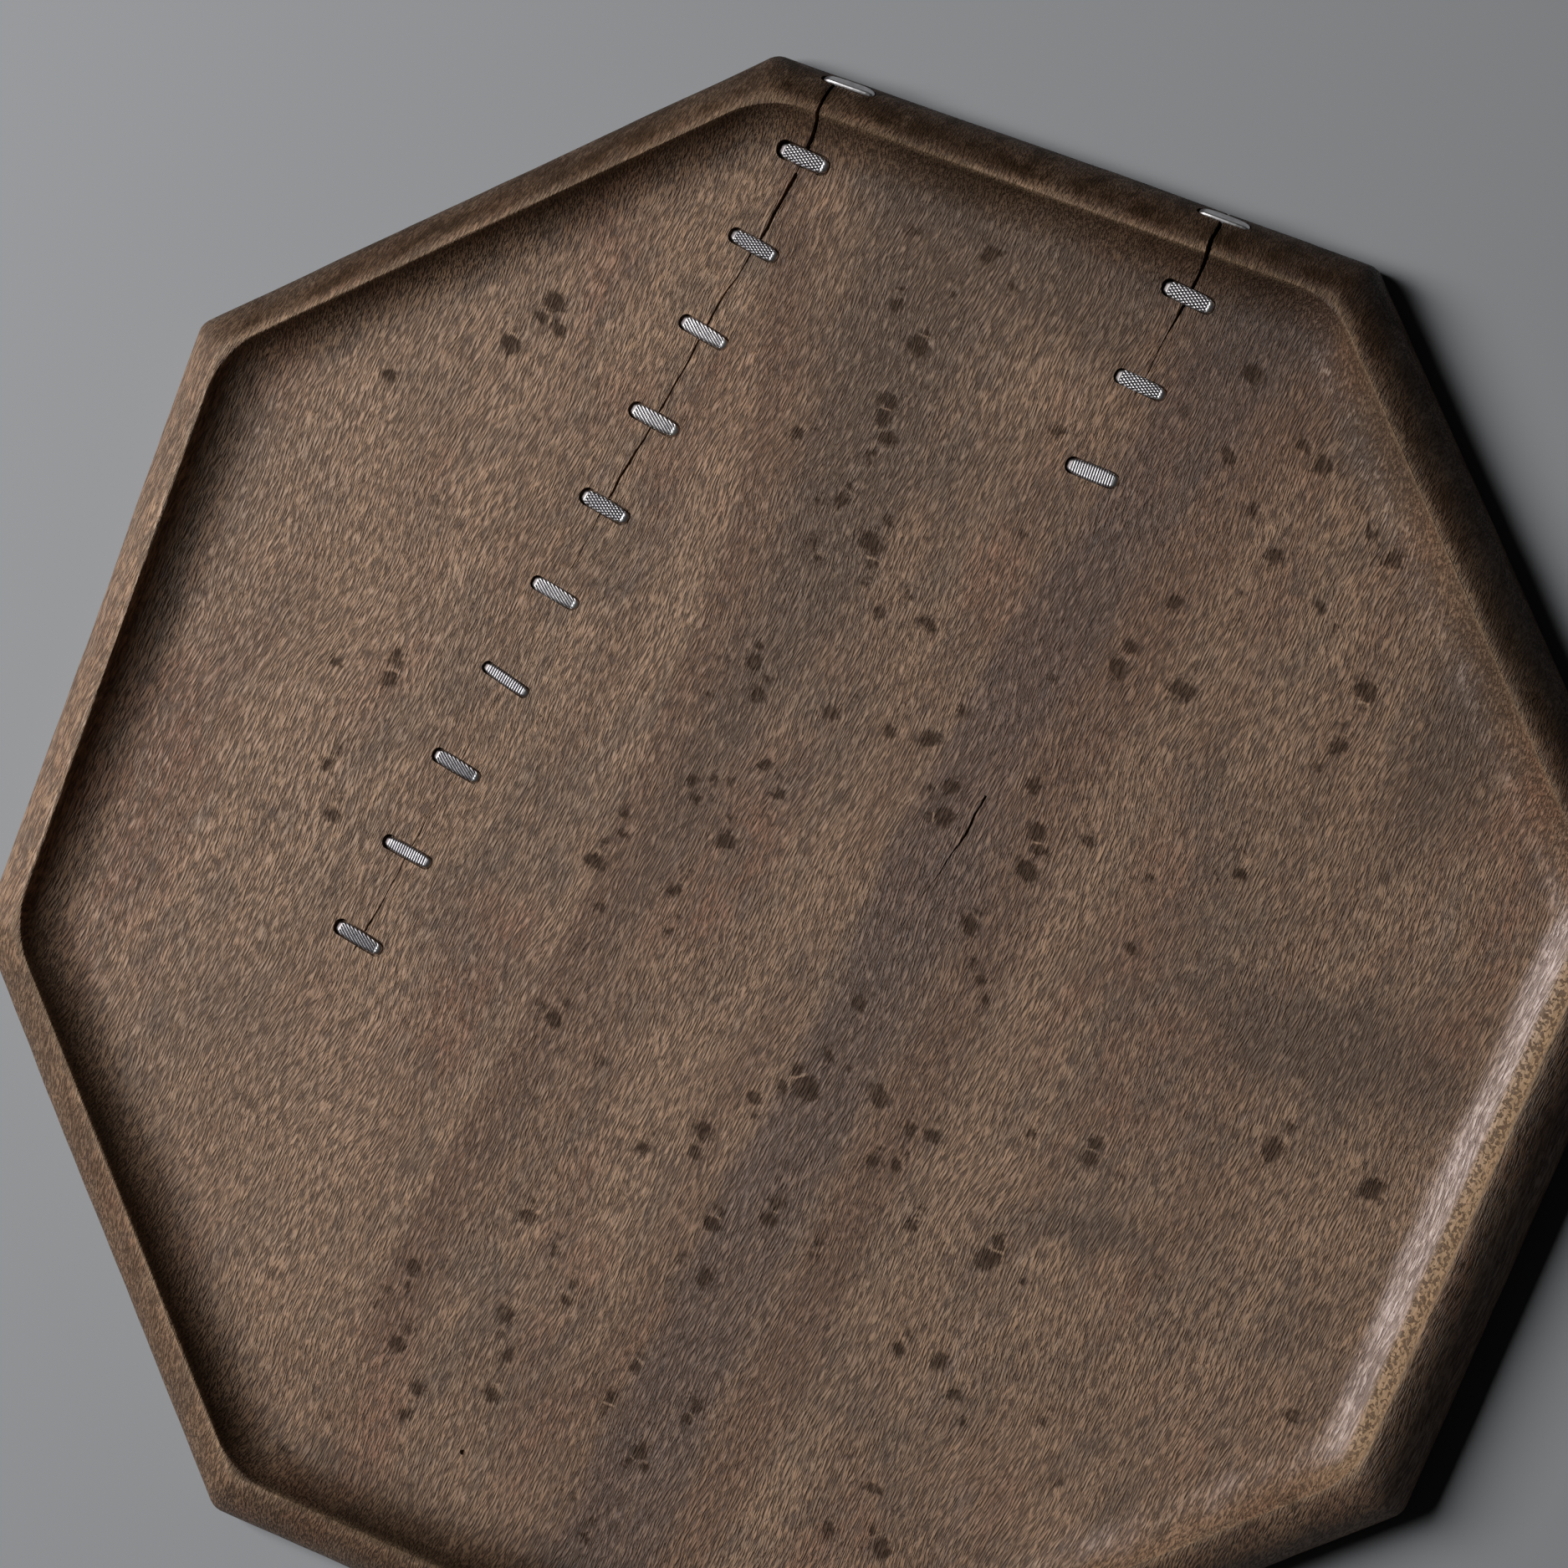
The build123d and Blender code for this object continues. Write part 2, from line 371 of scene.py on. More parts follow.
STAPLES = [
    *row("long_crack_staple", 2, (4.9, 168.8), 239.0, 22.95, LONG_ROW),
    *row("short_crack_staple", 1, (92.7, 133.0), 240.3, 22.4, SHORT_ROW),
    ("long_crack_rim_staple", on_rim(127.1), *RIM_STAPLE),
    ("short_crack_rim_staple", on_rim(35.1), *RIM_STAPLE),
]
print(len(STAPLES), "staples")

# %% Beds let into the wood
BED_DEPTH = 1.6
BED_TOP = 2.5       # above the wood, so that the cut is open
BED_SLACK = 0.4


def bed_for(width):
    """The wood taken out for a crown: a bar with rounded ends."""
    piece = bar(CROWN_LENGTH + 2 * BED_SLACK, width + BED_SLACK, -BED_DEPTH, BED_TOP)
    edit(piece)
    pick("EDGE", lambda e: abs((e.verts[0].co - e.verts[1].co).normalized().z) > 0.9)
    bpy.ops.mesh.bevel(offset=width / 2 * MM, segments=6, affect="EDGES")
    bpy.ops.object.mode_set(mode="OBJECT")
    return piece


beds = []
for name, place, width, _, _ in STAPLES:
    bed = bed_for(width)
    bed.matrix_world = place @ Matrix.Translation((BED_SLACK / 2 * MM, 0, 0))
    settle(bed)
    beds.append(bed)
start_clean()
for bed in beds:
    bed.select_set(True)
bpy.context.view_layer.objects.active = beds[0]
bpy.ops.object.join()
cut(tray, beds[0])
print("bedded tray:", len(tray.data.polygons), "faces")

# %% [markdown]
# ## A floor that is not quite flat
#
# A gouged and scraped floor swells and dips by a few tenths of a millimetre, and light
# from a low side shows it. One big flat face can't bend, so the floor is first cut into a
# grid by bisecting it, and two soft noise displacements then move its points.

# %% Grid the floor
GRID = 6.0
GRID_REACH = 186.0
FLAT = 0.999                # a floor face's normal has more Z than this
NEAR_FLOOR = 0.2


def on_floor(face):
    above = abs(face.calc_center_median().z - FLOOR_Z * MM)
    return face.normal.z > FLAT and above < NEAR_FLOOR * MM


edit(tray)
for normal in ((1, 0, 0), (0, 1, 0)):
    place = -GRID_REACH
    while place < GRID_REACH:
        pick("FACE", on_floor)
        spot = [place * MM * n for n in normal]
        bpy.ops.mesh.bisect(plane_co=spot, plane_no=normal)
        place += GRID
pick("FACE", on_floor)
bpy.ops.mesh.subdivide(number_cuts=3)
bpy.ops.object.mode_set(mode="OBJECT")
print("gridded tray:", len(tray.data.polygons), "faces")

# %% Hand-worked swell, with the base kept flat
FLAT_BELOW = 1.0
FULL_ABOVE = 5.0


def noise_texture(name, size):
    texture = bpy.data.textures.new(name, "CLOUDS")
    texture.noise_scale = size * MM
    texture.noise_depth = 1
    return texture


def swell(piece, texture, strength, group):
    modify(piece, "DISPLACE", texture=texture, texture_coords="LOCAL", direction="NORMAL",
           mid_level=0.5, strength=strength * MM, vertex_group=group)


worked = tray.vertex_groups.new(name="worked")
for vertex in tray.data.vertices:
    height = vertex.co.z / MM
    weight = (height - FLAT_BELOW) / (FULL_ABOVE - FLAT_BELOW)
    worked.add([vertex.index], min(1.0, max(0.0, weight)), "REPLACE")
swell(tray, noise_texture("broad", 55), 0.7, "worked")
swell(tray, noise_texture("tool_marks", 9), 0.22, "worked")
print("swollen tray:", len(tray.data.vertices), "points")

# %% [markdown]
# ## Eyes in the figure
#
# The wood is full of small dark eyes, often in pairs with a pale line between them. Their
# places make this board this board, so they are set one by one. Each eye is a soft oval
# with its own turn. Each point of the tray stores how near it is to an eye, and the wood's
# material reads that value.

# %% Eye places: x, y in mm, core radius in mm, strength
EYES = [
    (-54, 138, 2.6, 0.9), (-57, 134.5, 1.9, 0.7), (-53.5, 132, 2.2, 0.8), (-63, 132, 1.9, 0.5),
    (-64.5, 128.5, 2.6, 0.9), (-76, 134.5, 1.8, 0.4), (-76.5, 129, 1.8, 0.35),
    (-93.5, 122.5, 1.7, 0.8), (-57, 153.5, 2.0, 0.5), (-60, 121.5, 1.6, 0.35),
    (30.5, 151.5, 2.2, 0.7), (27, 138, 1.4, 0.5), (26, 134, 1.8, 0.8), (31, 124.5, 2.4, 0.9),
    (33, 127.5, 1.6, 0.6), (24, 112, 2.0, 0.9), (2.5, 105.5, 1.9, 0.8), (7, 107, 1.5, 0.6),
    (9.5, 108.5, 1.2, 0.5), (23, 108.5, 2.2, 0.8), (24, 103.5, 2.0, 0.9), (20, 100, 1.6, 0.8),
    (8, 90, 1.5, 0.7), (13, 90, 1.9, 0.9), (15, 93, 1.3, 0.6), (6.5, 80, 2.0, 0.6),
    (7.5, 76.5, 1.5, 0.6), (20, 79.5, 2.7, 0.9), (24, 84.5, 1.9, 0.7), (20, 75, 1.5, 0.8),
    (18.5, 71, 1.8, 0.6), (28.5, 67.5, 1.6, 0.6), (21.5, 64, 1.6, 0.8), (32.5, 61, 2.2, 0.8),
    (48, 145, 2.6, 0.9), (53, 137, 1.8, 0.6), (39.5, 136, 1.5, 0.5), (62.5, 103.5, 2.0, 0.7),
    (54.5, 81, 1.5, 0.6), (88.5, 64.5, 1.8, 0.9), (79, 54.5, 2.1, 0.7), (76, 50, 2.4, 0.9),
    (90, 44.5, 3.0, 0.8), (92.5, 49.5, 1.5, 0.5), (61, 48, 1.7, 0.5), (111, 74, 2.1, 0.8),
    (104, 66, 1.4, 0.5), (103, 60.5, 1.4, 0.5), (106.5, 84.5, 1.9, 0.7), (107, 115, 2.6, 0.8),
    (101, 97, 2.2, 0.8), (118, 98.5, 2.1, 0.8), (122, 94, 2.3, 0.8), (130, 86, 3.0, 0.4),
    (132.5, 79, 2.0, 0.8), (138, 72.5, 2.5, 1.0), (131, 43.5, 2.7, 0.9), (130.5, 40, 1.8, 0.5),
    (126, 35.5, 1.9, 0.5), (124.5, 31.5, 1.9, 0.9), (120, 27, 1.9, 0.6), (121, 62.5, 1.6, 0.8),
    (125, 58, 2.0, 0.4), (148, 60, 2.4, 0.4), (33, 35, 2.4, 0.9), (56.5, 24, 1.9, 0.9),
    (37.7, 24, 2.3, 0.9), (33, 23.5, 1.4, 0.7), (-92, 56, 2.7, 0.6), (-94, 51.5, 2.3, 0.8),
    (-107, 56, 2.2, 0.5), (-106.5, 36, 2.3, 0.6), (-109, 32, 2.1, 0.7), (-106, 24.5, 1.8, 0.5),
    (-108, 20.5, 1.9, 0.7), (-6, 57, 1.4, 0.7), (-7.5, 53.5, 1.8, 0.9), (-14, 54, 1.6, 0.4),
    (-22.5, 53.5, 1.9, 0.4), (-18, 46.5, 1.3, 0.6), (-7, 46, 2.0, 0.7), (-4, 49.3, 1.9, 0.5),
    (-33, 48, 2.0, 0.4), (16, 44.5, 1.3, 0.6), (10, 41, 1.9, 0.8), (24, 37, 1.7, 0.8),
    (-38, 19.5, 1.9, 0.6), (-38.5, 15, 1.5, 0.7), (-43, 12.5, 1.9, 0.5), (-45, 8.5, 2.2, 0.9),
    (-44, -2, 2.0, 0.6), (-26, 25, 1.2, 0.6), (-22, 26.5, 1.8, 0.7), (-21.5, 22.5, 1.5, 0.8),
    (-17, 27, 1.5, 0.7), (-13, 26.5, 1.2, 0.7), (-13, 18, 1.2, 0.6), (-14.5, 12.8, 2.3, 0.9),
    (-5, 30, 1.7, 0.8), (-3, 34, 1.4, 0.4), (-2, 23, 1.3, 0.9), (-1.5, 26.5, 1.1, 0.6),
    (-4.5, 17.5, 1.5, 0.7), (-24, 5.5, 2.0, 0.5), (-26.5, 1.5, 1.9, 0.8), (-28, -7.5, 1.5, 0.6),
    (-26, -4, 1.1, 0.6), (-49, -10, 1.8, 0.6), (-55, -27.5, 1.9, 0.9), (-58, -24.5, 1.8, 0.5),
    (-52, -23.5, 1.6, 0.6), (-44, -37, 2.3, 0.6), (-28, -26, 1.5, 0.4), (-43, -47, 1.5, 0.5),
    (-34, -57, 1.9, 0.7), (-32, -53.5, 1.5, 0.5), (-20, -53, 2.3, 0.8), (-22, -58, 1.8, 0.8),
    (-8, -45.5, 1.8, 0.9), (-8.5, -49.5, 1.4, 0.6), (3.5, -43.3, 2.7, 1.0), (-1.5, -43, 1.6, 0.8),
    (2, -39.5, 2.2, 0.7), (9, -36, 1.5, 0.9), (16, -24.5, 2.0, 0.7), (14, -39, 1.3, 0.6),
    (20.5, -45.5, 2.4, 1.0), (36, 17, 2.2, 0.9), (32.5, 17.5, 1.4, 0.7), (57, 13.5, 2.4, 0.8),
    (57.5, 9.5, 1.9, 0.8), (54.5, 5, 2.4, 1.0), (68.5, 11, 1.9, 0.7), (69.5, 14.5, 1.4, 0.5),
    (82, 2.5, 1.5, 0.7), (102.5, 3.5, 2.2, 0.7), (97.5, 2.5, 1.6, 0.5), (103.5, 8, 1.4, 0.4),
    (41.5, -7, 2.2, 0.8), (44, -4.5, 1.4, 0.6), (42, -16, 1.9, 0.6), (44, -19.5, 1.7, 0.7),
    (45, -24, 1.9, 0.7), (78, -13, 1.7, 0.7), (80, -18.5, 1.3, 0.5), (86.5, -32, 1.5, 0.5),
    (109, -57.5, 2.8, 0.9), (113, -53, 2.0, 0.5), (130.5, -66.5, 2.9, 0.9), (134, -63, 1.6, 0.3),
    (27.5, -53, 1.9, 0.8), (32.5, -54.5, 2.2, 0.8), (29, -50.3, 1.4, 0.5), (34, -51, 1.5, 0.6),
    (19, -60, 1.8, 0.8), (20.5, -56.8, 1.3, 0.5), (24.5, -61, 1.9, 0.8), (26.5, -58.3, 1.2, 0.5),
    (55, -54, 1.9, 0.7), (57, -51.5, 1.4, 0.5), (68, -59.5, 2.1, 0.8), (69.5, -56, 1.9, 0.7),
    (74, -63.5, 1.8, 0.5), (27.5, -74.5, 1.9, 0.7), (29.5, -71.3, 1.6, 0.6), (47.5, -78, 2.2, 0.8),
    (45, -82, 2.6, 1.0), (6.5, -78, 1.9, 0.6), (5, -81.7, 1.9, 0.6), (53, -86.5, 1.5, 0.6),
    (83, -85.5, 1.8, 0.4), (-68.5, -68, 1.9, 0.4), (-61.5, -72.5, 2.3, 0.8), (-60, -69, 1.7, 0.5),
    (-18.5, -74, 2.1, 0.9), (-16.5, -71, 1.7, 0.7), (-5, -73, 1.9, 1.0), (-3, -69.7, 1.8, 0.9),
    (-54, -77, 1.3, 0.5), (-55, -80, 1.6, 0.7), (-50.5, -88, 1.4, 0.6), (-52.5, -91.5, 1.6, 0.8),
    (-44, -70, 1.4, 0.5), (-39, -68, 1.4, 0.5), (-25, -81.5, 1.9, 0.6), (-20, -86, 2.2, 0.8),
    (-26, -88, 1.5, 0.4), (-88.5, -84, 2.0, 0.7), (-82, -84, 1.6, 0.5), (-90, -88.5, 1.5, 0.6),
    (-95.5, -89, 2.2, 0.5), (-97, -93, 1.8, 0.4), (-90, -98, 2.2, 0.5), (-92.5, -102, 2.0, 0.9),
    (-66.5, -95, 2.3, 0.7), (-68, -99.3, 2.0, 0.5), (-66.5, -104, 2.1, 0.8),
    (-70, -113, 1.8, 0.9), (-68, -109.5, 1.4, 0.5), (-87.5, -112, 2.2, 0.7),
    (-90.5, -117.5, 2.1, 0.7), (-109.5, -118.5, 2.4, 0.4), (-35, -103, 1.9, 0.5),
    (-36.5, -106.5, 1.8, 0.6), (-42, -113, 1.9, 0.8), (-43.5, -116, 1.8, 0.7),
    (-22.5, -115, 1.7, 0.9), (-24.5, -118, 1.4, 0.8),
    (-35, -125.5, 2.0, 0.9), (-38, -128, 1.6, 0.7), (-34, -129, 1.4, 0.7), (-119, -126, 2.4, 0.4),
    (-51, -136, 1.5, 0.5), (-47, -141.5, 1.8, 0.6), (-49, -145, 1.7, 0.8), (8, -142.5, 1.9, 0.8),
    (9.5, -139, 1.3, 0.5), (24.5, -102, 1.9, 0.7), (27, -99, 1.4, 0.5), (34, -105, 2.5, 0.7),
    (37, -112, 1.9, 0.7), (38.5, -118, 1.6, 0.6), (57, -118, 1.9, 0.5), (58.5, -115, 1.7, 0.4),
    (112.5, -116, 2.3, 0.6), (114, -112.5, 1.7, 0.3), (60, -131, 2.0, 0.4), (18.5, -133, 1.9, 0.7),
    (20, -146, 2.4, 0.8), (18, -142.5, 1.7, 0.6), (113, -134, 2.8, 0.6), (-120, 170, 2.0, 0.3),
    (150, -64, 1.8, 0.5), (40.5, 41, 2.0, 0.6), (43, -138, 1.4, 0.4),
]


EYE_SPREAD = 1.2            # an eye's fading reach, in core radii
EYE_SQUASH = (0.62, 0.95)
EYES_ABOVE = 5.0            # the underside has none
EYE_SINK = 0.16
FAINTEST = 0.02


def two_families(eyes):
    """Deals the eyes into two families, so that close neighbours are in different ones."""
    families = [[], []]
    for eye in eyes:
        gaps = [min((hypot(eye[0] - x, eye[1] - y) for x, y, _, _ in family), default=999)
                for family in families]
        families[gaps[1] > gaps[0]].append(eye)
    return families


def near_an_eye(points, eyes):
    """For each point in mm: an eye's strength in its core, falling to 0 away from it."""
    nearest = np.zeros(len(points))
    rng = np.random.default_rng(21)
    for x, y, radius, strength in eyes:
        turn, squash = rng.uniform(0, pi), rng.uniform(*EYE_SQUASH)
        spread = EYE_SPREAD * radius
        dx, dy = points[:, 0] - x, points[:, 1] - y
        along = (dx * cos(turn) + dy * sin(turn)) / spread
        across = (dy * cos(turn) - dx * sin(turn)) / (spread * squash)
        nearest = np.maximum(nearest, strength * np.exp(-along ** 2 - across ** 2))
    nearest[points[:, 2] < EYES_ABOVE] = 0
    return nearest


def store(piece, name, values):
    attribute = piece.data.attributes.new(name, "FLOAT", "POINT")
    attribute.data.foreach_set("value", values.astype(np.float32))


def places_of_points(piece):
    """Every point of a piece, in metres."""
    values = np.empty(len(piece.data.vertices) * 3)
    piece.data.vertices.foreach_get("co", values)
    return values.reshape(-1, 3)


points = places_of_points(tray) / MM
first_family, second_family = two_families(EYES)
first_eyes = near_an_eye(points, first_family)
second_eyes = near_an_eye(points, second_family)
store(tray, "first_eyes", first_eyes)
store(tray, "second_eyes", second_eyes)
nearness = np.maximum(first_eyes, second_eyes)
dimples = tray.vertex_groups.new(name="dimples")
for index in np.nonzero(nearness > FAINTEST)[0]:
    dimples.add([int(index)], float(nearness[index]), "REPLACE")
modify(tray, "DISPLACE", direction="Z", mid_level=0, strength=-EYE_SINK * MM,
       vertex_group="dimples")
bpy.ops.object.shade_smooth_by_angle(angle=radians(35))
print(len(EYES), "eyes")

# %% [markdown]
# ## The rim, the crest and the lit wall
#
# The rolled rim is darker, partly from handling and partly as painted shade, and painted
# shade lies under the crest, down the wall and onto the floor, while the crest itself is
# rubbed paler and carries a painted highlight. The wall that faces the light shows pale end
# grain at its top, partly painted light, and is polished below it, with a painted sheen. How
# far each point lies inside the outline gives all of them, and each of the eight sides has
# its own share, in the order of the corners that they start from.

# %% Distance inside the outline, and the values made from it
# Per side: how dark the rolled rim is, partly handled wood and partly painted shade.
RIM_DARKNESS_AND_SHADE = [1.0, 0.92, 0.05, 0.42, 0.5, 0.1, 0.6, 0.85]
# Per side: how strong the painted shade under the crest is.
SHADE_UNDER_CREST = [0.85, 0.55, 0.2, 0.75, 1.0, 0.15, 0.0, 0.3]
LIT_WALL = [0, 0, 0, 0, 0, 0.25, 1.0, 0.08]
SHADE_REACH = 15.5           # from the crest down the wall and onto the floor
RIM_DARKENING_FADE = 3.0
TOP_ABOVE = 15.0


def inside_each(points):
    """How far, in mm, each point lies inside each of the eight sides."""
    gaps = []
    for (x0, y0), (x1, y1) in zip(CORNERS, CORNERS[1:] + CORNERS[:1]):
        side = np.array((x1 - x0, y1 - y0)) / hypot(x1 - x0, y1 - y0)
        gaps.append(side[0] * (points[:, 1] - y0) - side[1] * (points[:, 0] - x0))
    return np.array(gaps)


def share(gaps, of_side, reach):
    """Each point's share of the sides' values, softly mixed near the mitres."""
    weight = np.exp(-(gaps - gaps.min(axis=0)) / reach)
    return (weight * np.array(of_side)[:, None]).sum(axis=0) / weight.sum(axis=0)


gaps = inside_each(points)
inward = gaps.min(axis=0)
outside = np.clip((RIM_WIDTH - inward) / RIM_DARKENING_FADE, 0, 1)
down_wall = inward - RIM_WIDTH
# Painted shade, from the crest down the wall and onto the floor.
crest_shade = np.clip(1 - down_wall / SHADE_REACH, 0, 1) ** 0.75 * (down_wall > 0)
lit = share(gaps, LIT_WALL, 4.0)
store(tray, "handled_and_shaded", outside * share(gaps, RIM_DARKNESS_AND_SHADE, 2.0))
store(tray, "crest_shade", crest_shade * share(gaps, SHADE_UNDER_CREST, 4.0))
# Pale end grain at the top of the lit wall, its paleness partly painted light.
store(tray, "end_grain_and_light", np.clip(1.6 - np.abs(down_wall - 2.6) / 2.2, 0, 1) * lit)
# Painted sheen on the lit wall, below its end grain; the same value also lowers the roughness
# there.
store(tray, "polish_and_painted_sheen", np.clip(1.3 - np.abs(down_wall - 7.6) / 4.6, 0, 1) * lit)
# Crest rubbed paler, with a painted highlight along it.
store(tray, "rubbed_and_highlit", np.exp(-((down_wall - 0.1) / 0.6) ** 2) * (points[:, 2] > TOP_ABOVE))
print("wall and rim values stored at", len(points), "points")

# %% [markdown]
# ## Broad tones of this board
#
# A dark mineral streak with brown edges crosses the board beside its middle. A brown band
# left of it starts at a sharp line and fades to the right, and broad dark and pale clouds
# lie mostly along the grain; the dark ones across the grain near the top right rim are
# partly painted shade. Streak and band are routes, and each cloud is a long soft patch with
# a heading and a strength, which is negative for a pale one.

# %% Routes, and cloud patches: x, y, half length, half width in mm, heading, strength
STREAK_ROUTE = [(140, 148), (108, 122), (84, 92), (64, 62), (50, 40), (39, 18), (27, -8),
                (14, -34), (-2, -62), (-15, -90), (-30, -120), (-46, -150)]
STREAK_HALF_WIDTH = 11.0
BAND_WIDTH = 16.0
BAND_EDGE = 1.5
BAND_ROUTE = [(0, 168), (-5, 115), (-13, 78), (-27, 46), (-45, 4), (-61, -27), (-77, -54),
              (-97, -92)]
# The dark patches across the grain near the top right rim are partly painted shade.
PATCHES = [
    (28, 135, 45, 17, 76, 0.65), (5, 75, 45, 13, 66, 0.50), (-30, 15, 40, 9, 62, 0.40),
    (-70, -55, 45, 6, 60, 0.35), (-22, 82, 50, 8, 68, -0.55), (14, 12, 34, 7, 64, -0.45),
    (66, -3, 60, 9, 62, -0.40), (26, -90, 50, 10, 62, -0.40), (120, -35, 34, 13, -20, 0.60),
    (150, 32, 36, 12, 70, 0.55), (68, -76, 20, 5, -10, 0.45), (128, 104, 36, 12, -48, 0.55),
    (75, 132, 32, 16, -25, 0.50), (-124, 22, 16, 2.6, -35, 0.50), (-128, 34, 10, 2, -10, 0.35),
    (-146, 75, 42, 4, 72, 0.55), (-100, 80, 70, 32, 66, -0.42), (-125, -55, 55, 30, 60, -0.35),
    (15, 96, 24, 6, 72, 0.60), (110, 124, 14, 8, -40, 0.60), (-8, -30, 30, 4, 58, 0.35),
    (-25, -35, 13, 11, 0, -0.50), (-60, -112, 26, 16, 50, 0.30), (100, 70, 26, 14, 60, -0.25),
    (95, -120, 40, 14, 10, -0.25), (20, -125, 26, 12, 60, 0.25), (118, -95, 20, 9, 20, 0.30),
]


def left_of_route(points, route):
    """Distance in mm from a route that runs down the board: plus on its left, toward +X."""
    nearest = np.full(len(points), 999.0)
    for (x0, y0), (x1, y1) in zip(route, route[1:]):
        span = np.array((x1 - x0, y1 - y0))
        from_start = points[:, :2] - (x0, y0)
        along = np.clip(from_start @ span / (span @ span), 0, 1)
        distance = np.hypot(*(from_start - along[:, None] * span).T)
        turn = span[0] * from_start[:, 1] - span[1] * from_start[:, 0]
        nearest = np.where(distance < abs(nearest), np.copysign(distance, turn), nearest)
    return nearest


def clouded(points, patches):
    """The sum of the soft patches at each point."""
    total = np.zeros(len(points))
    for x, y, half_length, half_width, heading, strength in patches:
        turn = radians(heading)
        dx, dy = points[:, 0] - x, points[:, 1] - y
        along = (dx * cos(turn) + dy * sin(turn)) / half_length
        across = (dy * cos(turn) - dx * sin(turn)) / half_width
        total += strength * np.exp(-(along ** 2 + across ** 2))
    return total


from_streak = left_of_route(points, STREAK_ROUTE)
from_band = left_of_route(points, BAND_ROUTE)
beside_streak = np.exp(-((from_streak - 18) / 9) ** 2)
beside_streak += 0.6 * np.exp(-((from_streak + 17) / 7) ** 2)
in_band = np.where(from_band > 0, np.exp(-from_band / BAND_WIDTH),
                   np.exp(-(from_band / BAND_EDGE) ** 2))
store(tray, "streak", np.clip(1.6 - abs(from_streak) / STREAK_HALF_WIDTH, 0, 1))
store(tray, "brown", np.maximum(beside_streak, in_band))
store(tray, "clouded", clouded(points, PATCHES))
print(len(PATCHES), "cloud patches")

# %% [markdown]
# ## The staples
#
# A staple is a strip of silver with its ends bent down into the wood and its crown hammered
# flat, so it is widest in the middle and narrows to each leg. A bar is cut at stations
# along its length and each is narrowed and lowered. A voxel remesh gives it even, fine
# faces, and the hammer's hatching is then pressed in as real grooves.

# %% One plain crown: each station's distance from the middle, share of the width and drop
CROWN_WIDTH = 3.4
CROWN_PROUD = 0.6
CROWN_SUNK = 0.7
STATIONS = [(6.2, 0.44, 0.85), (5.95, 0.62, 0.50), (5.4, 0.76, 0.25), (4.5, 0.87, 0.09),
            (3.0, 0.96, 0.02), (1.2, 1.0, 0.0)]
SAME_STATION = 0.05
CROWN_ROUNDING = 0.5
VOXEL = 0.1


def plain_crown():
    piece = bar(CROWN_LENGTH, CROWN_WIDTH, -CROWN_SUNK, CROWN_PROUD)
    edit(piece)
    for x, _, _ in STATIONS[1:]:
        for place in (-x, x):
            bpy.ops.mesh.select_all(action="SELECT")
            bpy.ops.mesh.bisect(plane_co=(place * MM, 0, 0), plane_no=(1, 0, 0))
    for x, narrow, drop in STATIONS:
        for place in (-x, x):
            pick("VERT", lambda v: abs(v.co.x / MM - place) < SAME_STATION)
            bpy.ops.transform.resize(value=(1, narrow, 1), center_override=(place * MM, 0, 0))
            pick("VERT", lambda v: abs(v.co.x / MM - place) < SAME_STATION and v.co.z > 0)
            bpy.ops.transform.translate(value=(0, 0, -drop * MM))
    pick("EDGE", lambda e: min(v.co.z for v in e.verts) > -0.3 * MM
         and abs((e.verts[0].co - e.verts[1].co).normalized().y) < 0.7)
    bpy.ops.mesh.bevel(offset=CROWN_ROUNDING * MM, segments=3, affect="EDGES")
    modify(piece, "REMESH", mode="VOXEL", voxel_size=VOXEL * MM)
    modify(piece, "SMOOTH", factor=0.6, iterations=4)
    return piece


# %% Grooves pressed into the crown
GROOVE_PITCH = 0.62
GROOVE_DEPTH = 0.15
BANDS_PER_UNIT = 10 / (2 * pi)      # of the texture
HAMMERED_REACH = 5.1                # the ends of a crown stay smooth
HAMMERED_ABOVE = 0.25
FAR_END_START = 4.5


def groove(piece, angle, depth):
    """Presses parallel grooves at an angle from square across the crown."""
    start_clean()
    bpy.ops.object.empty_add(location=(0, 0, 0), rotation=(0, 0, radians(angle)))
    guide = bpy.context.object
    guide.scale = (GROOVE_PITCH * MM * BANDS_PER_UNIT, 1, 1)
    bpy.context.view_layer.update()
    texture = bpy.data.textures.new("groove", "WOOD")
    texture.wood_type = "BANDS"
    texture.noise_basis_2 = "SIN"
    modify(piece, "DISPLACE", texture=texture, texture_coords="OBJECT",
           texture_coords_object=guide, direction="Z", mid_level=1.0, strength=depth * MM,
           vertex_group="hammered")
    bpy.data.objects.remove(guide)


def hammered_crown(kind, angles, depth):
    """A crown with one set of grooves for each angle. Its points store how deep they went."""
    piece = plain_crown()
    piece.name = f"crown_{kind}"
    hammered = piece.vertex_groups.new(name="hammered")
    before = places_of_points(piece)
    store(piece, "far_end", np.clip((before[:, 0] / MM - FAR_END_START) / 1.3, 0, 1))
    for index, (x, _, z) in enumerate(before / MM):
        if z > HAMMERED_ABOVE:
            weight = min(1.0, max(0.0, (HAMMERED_REACH - abs(x)) / 0.5))
            hammered.add([index], weight, "REPLACE")
    for angle in angles:
        groove(piece, angle, depth)
    sunk = before[:, 2] - places_of_points(piece)[:, 2]
    store(piece, "pressed", sunk / (GROOVE_DEPTH * MM))
    return piece


CROWNS = {
    "plain": hammered_crown("plain", [], 0),
    "crossed": hammered_crown("crossed", [63, -63], GROOVE_DEPTH),
    "slanted": hammered_crown("slanted", [60], GROOVE_DEPTH * 1.8),
    "ribbed": hammered_crown("ribbed", [4], GROOVE_DEPTH * 1.3),
}
print("one crown:", len(CROWNS["crossed"].data.polygons), "faces")

# %% Legs, and a copy for every place
LEG_TOP = -0.2
LEG_BOTTOM = -7.0
LEG_THICKNESS = 1.2
LEG_WIDTH = 1.9
LEG_PLACE = 5.2
staple_pieces = {}


